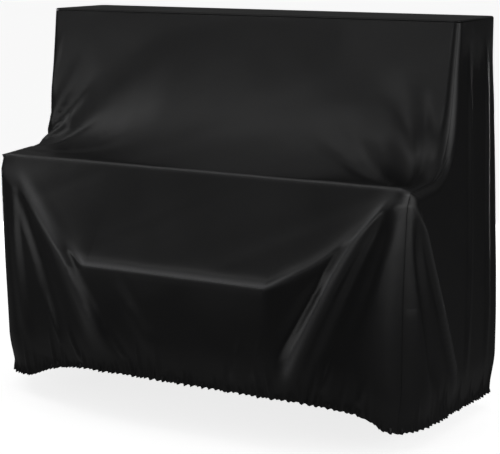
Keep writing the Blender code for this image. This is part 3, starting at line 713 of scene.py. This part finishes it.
def stitches(name, points, material):
    """A line of small stitches along a panel's top seam, on its outer face."""
    line = points[STITCH_ROW]
    outward = -inward_normals(points)[STITCH_ROW]
    steps = np.linalg.norm(np.diff(line, axis=0), axis=1)
    place = np.concatenate([[0.0], np.cumsum(steps)])

    def along(values, at):
        return Vector([np.interp(at, place, values[:, k]) for k in range(3)])

    mesh = bpy.data.meshes.new(name)
    thread = bmesh.new()
    for at in np.arange(STITCH_PITCH, place[-1] - STITCH_PITCH, STITCH_PITCH):
        centre = along(line, at)
        out = along(outward, at)
        run = (along(line, at + STITCH[0]) - centre).normalized()
        side = out.cross(run).normalized()
        turn = Matrix((run, side, out.normalized())).transposed().to_4x4()
        spot = Matrix.Translation(centre + out * SHEET)
        bmesh.ops.create_uvsphere(thread, u_segments=STITCH_SEGMENTS, v_segments=STITCH_RINGS,
                                  radius=1.0, matrix=spot @ turn @ Matrix.Diagonal((*STITCH, 1.0)))
    for face in thread.faces:
        face.smooth = True
    thread.to_mesh(mesh)
    thread.free()
    return add_piece(name, mesh, material)


def add_node(nodes, kind, **values):
    """Add a shader node, with its settings and the values of its unlinked inputs."""
    node = nodes.new("ShaderNode" + kind)
    for name, value in values.items():
        if name in node.inputs:
            node.inputs[name].default_value = value
        else:
            setattr(node, name, value)
    return node


def map_range(nodes, before, after):
    """Add a node that maps one range of values onto another."""
    node = nodes.new("ShaderNodeMapRange")
    node.inputs["From Min"].default_value, node.inputs["From Max"].default_value = before
    node.inputs["To Min"].default_value, node.inputs["To Max"].default_value = after
    return node


def thread_finish(name):
    """Black polyester sewing thread, a touch glossier than the cloth."""
    material = bpy.data.materials.new(name)
    material.use_nodes = True
    nodes = material.node_tree.nodes
    links = material.node_tree.links
    shader = nodes["Principled BSDF"]
    shader.inputs["Base Color"].default_value = THREAD_TONE
    shader.inputs["Sheen Weight"].default_value = 0.1
    place = add_node(nodes, "TexCoord")
    twist = add_node(nodes, "TexNoise", Scale=900.0)
    gloss = map_range(nodes, (0.0, 1.0), THREAD_ROUGHNESS)
    links.new(place.outputs["Object"], twist.inputs["Vector"])
    links.new(twist.outputs["Fac"], gloss.inputs["Value"])
    links.new(gloss.outputs["Result"], shader.inputs["Roughness"])
    return material


def cloth_finish(name):
    """Black coated cloth: a fine plain weave, faint handling creases, and along a crease a painted
    highlight, paler in colour, with a glossier skin."""
    material = bpy.data.materials.new(name)
    material.use_nodes = True
    nodes = material.node_tree.nodes
    links = material.node_tree.links
    shader = nodes["Principled BSDF"]

    # The plain weave, on the cut's own coordinates: threads over and under in both directions.
    cut = add_node(nodes, "UVMap", uv_map="cut")
    threads = add_node(nodes, "VectorMath", operation="SCALE", Scale=2 * math.pi / WEAVE_PITCH)
    split = add_node(nodes, "SeparateXYZ")
    warp = add_node(nodes, "Math", operation="SINE")
    weft = add_node(nodes, "Math", operation="SINE")
    weave = add_node(nodes, "Math", operation="MULTIPLY")
    links.new(cut.outputs["UV"], threads.inputs[0])
    links.new(threads.outputs["Vector"], split.inputs["Vector"])
    links.new(split.outputs["X"], warp.inputs[0])
    links.new(split.outputs["Y"], weft.inputs[0])
    links.new(warp.outputs["Value"], weave.inputs[0])
    links.new(weft.outputs["Value"], weave.inputs[1])

    # Slubs, handling creases, and the patches that handling leaves in the gloss.
    place = add_node(nodes, "TexCoord")
    slub = add_node(nodes, "TexNoise", Scale=150.0, Detail=3.0)
    crumple = add_node(nodes, "TexNoise", Scale=16.0, Detail=3.0, Distortion=0.5)
    patches = add_node(nodes, "TexNoise", Scale=5.0, Detail=2.0)
    for noise in (slub, crumple, patches):
        links.new(place.outputs["Object"], noise.inputs["Vector"])

    # The relief, from the coarsest to the finest.
    crumple_bump = add_node(nodes, "Bump", Strength=0.14, Distance=0.0040)
    slub_bump = add_node(nodes, "Bump", Strength=0.12, Distance=0.0006)
    weave_bump = add_node(nodes, "Bump", Strength=0.10, Distance=0.0002)
    links.new(crumple.outputs["Fac"], crumple_bump.inputs["Height"])
    links.new(slub.outputs["Fac"], slub_bump.inputs["Height"])
    links.new(weave.outputs["Value"], weave_bump.inputs["Height"])
    links.new(crumple_bump.outputs["Normal"], slub_bump.inputs["Normal"])
    links.new(slub_bump.outputs["Normal"], weave_bump.inputs["Normal"])
    links.new(weave_bump.outputs["Normal"], shader.inputs["Normal"])

    # The colour: painted paler over a crease, a painted highlight, and a little uneven from slub to
    # slub.
    painted_highlight_and_gloss = add_node(nodes, "Attribute", attribute_name="crest")
    tone = add_node(nodes, "Mix", data_type="RGBA")
    tone.inputs["A"].default_value = CLOTH_TONE
    # painted highlight: the pale colour that stands in for light caught along the creases
    tone.inputs["B"].default_value = PAINTED_HIGHLIGHT_TONE
    wear = map_range(nodes, (0.0, 1.0), (1 - TONE_CHANGE, 1 + TONE_CHANGE))
    shade = add_node(nodes, "VectorMath", operation="SCALE")
    links.new(painted_highlight_and_gloss.outputs["Fac"], tone.inputs["Factor"])
    links.new(slub.outputs["Fac"], wear.inputs["Value"])
    links.new(tone.outputs["Result"], shade.inputs[0])
    links.new(wear.outputs["Result"], shade.inputs["Scale"])
    links.new(shade.outputs["Vector"], shader.inputs["Base Color"])

    # The gloss: uneven in patches, and smoother over a crease.
    matt = map_range(nodes, (0.3, 0.7), (CLOTH_ROUGHNESS - CLOTH_ROUGHNESS_CHANGE,
                                         CLOTH_ROUGHNESS + CLOTH_ROUGHNESS_CHANGE))
    gloss = add_node(nodes, "Mix", data_type="FLOAT")
    gloss.inputs["B"].default_value = CREST_ROUGHNESS
    links.new(patches.outputs["Fac"], matt.inputs["Value"])
    links.new(matt.outputs["Result"], gloss.inputs["A"])
    links.new(painted_highlight_and_gloss.outputs["Fac"], gloss.inputs["Factor"])
    links.new(gloss.outputs["Result"], shader.inputs["Roughness"])
    return material


def softbox(name, place, target, size, spread, power):
    """A soft studio light that looks at a point and isn't seen itself."""
    light = bpy.data.lights.new(name, "AREA")
    light.shape = "RECTANGLE"
    light.size, light.size_y = size
    light.energy = power
    light.spread = math.radians(spread)
    lamp = bpy.data.objects.new(name, light)
    lamp.location = place
    lamp.rotation_euler = (Vector(target) - Vector(place)).to_track_quat("-Z", "Y").to_euler()
    lamp.visible_camera = False
    bpy.context.collection.objects.link(lamp)


def pale_floor():
    """A plain pale floor that takes the cover's soft shadow and throws no light back at it."""
    mesh = bpy.data.meshes.new("floor")
    floor = bmesh.new()
    bmesh.ops.create_grid(floor, x_segments=1, y_segments=1, size=FLOOR_SIZE)
    bmesh.ops.translate(floor, verts=floor.verts, vec=(0, 0, -FLOOR_DROP))
    floor.to_mesh(mesh)
    floor.free()
    paint = bpy.data.materials.new("pale_floor")
    paint.use_nodes = True
    shader = paint.node_tree.nodes["Principled BSDF"]
    shader.inputs["Base Color"].default_value = FLOOR_PAINT
    shader.inputs["Roughness"].default_value = 0.9
    shader.inputs["Specular IOR Level"].default_value = 0.0
    shader.inputs["Emission Color"].default_value = (1.0, 1.0, 1.0, 1.0)
    shader.inputs["Emission Strength"].default_value = FLOOR_GLOW
    mesh.materials.append(paint)
    plane = bpy.data.objects.new("floor", mesh)
    bpy.context.collection.objects.link(plane)
    plane.visible_glossy = False
    plane.visible_diffuse = False
    plane.visible_shadow = False


def room():
    """The studio's even tone: pale behind, and for the cloth a gradient from floor to ceiling."""
    world = bpy.data.worlds.new("studio")
    bpy.context.scene.world = world
    world.use_nodes = True
    nodes = world.node_tree.nodes
    links = world.node_tree.links
    direction = add_node(nodes, "TexCoord")
    split = add_node(nodes, "SeparateXYZ")
    height = map_range(nodes, (-1.0, 1.0), (0.0, 1.0))
    tone = add_node(nodes, "ValToRGB")
    stops = tone.color_ramp.elements
    stops_at_first = len(stops)
    for k, (place, level) in enumerate(ROOM_TONES):
        stop = stops[k] if k < stops_at_first else stops.new(1.0)
        stop.position = place
        stop.color = (level, level, level, 1.0)
    seen = add_node(nodes, "LightPath")
    pick = add_node(nodes, "Mix", data_type="RGBA")
    pick.inputs["B"].default_value = ROOM_BEHIND
    links.new(direction.outputs["Generated"], split.inputs["Vector"])
    links.new(split.outputs["Z"], height.inputs["Value"])
    links.new(height.outputs["Result"], tone.inputs["Fac"])
    links.new(tone.outputs["Color"], pick.inputs["A"])
    links.new(seen.outputs["Is Camera Ray"], pick.inputs["Factor"])
    links.new(pick.outputs["Result"], nodes["Background"].inputs["Color"])


def camera():
    """Look at the cover from the front and a little to its right."""
    azimuth = math.radians(CAMERA_AZIMUTH)
    elevation = math.radians(CAMERA_ELEVATION)
    level = math.cos(elevation)
    back = Vector((math.sin(azimuth) * level, -math.cos(azimuth) * level, math.sin(elevation)))
    lens = bpy.data.cameras.new("camera")
    lens.lens = CAMERA_LENS
    lens.sensor_width = CAMERA_SENSOR
    eye = bpy.data.objects.new("camera", lens)
    eye.location = Vector(CAMERA_AIM) + back * CAMERA_DISTANCE
    eye.rotation_euler = (-back).to_track_quat("-Z", "Y").to_euler()
    bpy.context.collection.objects.link(eye)
    bpy.context.scene.camera = eye


def studio():
    """Floor, room, soft lights and camera."""
    pale_floor()
    room()
    for row in SOFTBOXES[1:]:
        softbox(*row)
    camera()
    bpy.context.scene.view_settings.view_transform = "Standard"


def build():
    """Make every piece of the cover."""
    upper_rows = stations(0.0, UPPER_ROWS)
    lower_rows = stations(0.0, LOWER_ROWS)
    front = front_points(stations(-1.0, FRONT_COLUMNS), upper_rows, lower_rows)
    heights = read(BACK_ROWS, "z", upper_rows)
    heights = np.concatenate([heights, heights[-1] + (-HEM_DROP - heights[-1]) * lower_rows[1:]])
    back = back_points(stations(0.0, BACK_COLUMNS), heights)
    side_columns = stations(0.0, SIDE_COLUMNS)
    corner = len(upper_rows)
    right = side_points(1, side_columns, front[:, -1], back[:, 0], corner, RIGHT_FOLDS)
    left = side_points(-1, side_columns, front[:, 0], back[:, -1], corner, LEFT_FOLDS)[:, ::-1]
    top = top_points(stations(-1.0, TOP_COLUMNS), stations(-1.0, TOP_ROWS))[::-1]

    skirt_cloth = cloth_finish("black_skirt_cloth")
    top_cloth = cloth_finish("black_top_cloth")
    thread = thread_finish("black_thread")
    # Each skirt panel with how strongly it gets the painted highlight and the gloss along its
    # creases.
    skirt = (
        ("front_panel", front, front_crests(front, corner)),
        ("right_side_panel", right, fold_crests(RIGHT_FOLDS, right[:, :, 1], right[:, :, 2])),
        ("back_panel", back, fold_crests(BACK_FOLDS, back[:, :, 0], back[:, :, 2])),
        ("left_side_panel", left, fold_crests(LEFT_FOLDS, left[:, :, 1], left[:, :, 2])),
    )
    for seed, (name, points, painted_highlight_and_gloss) in enumerate(skirt):
        points = gather_hem(seam_groove(uneven(points)), seed)
        panel, flat = make_panel(name + "_cloth", points, painted_highlight_and_gloss, skirt_cloth)
        sewing = stitches(name + "_stitches", points, thread)
        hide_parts(name)

    # The top panel gets no painted highlight and no extra gloss.
    no_painted_highlight = np.zeros(top.shape[:2])
    panel, flat = make_panel("top_panel_cloth", top, no_painted_highlight, top_cloth)
    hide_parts("top_panel")


build()
studio()
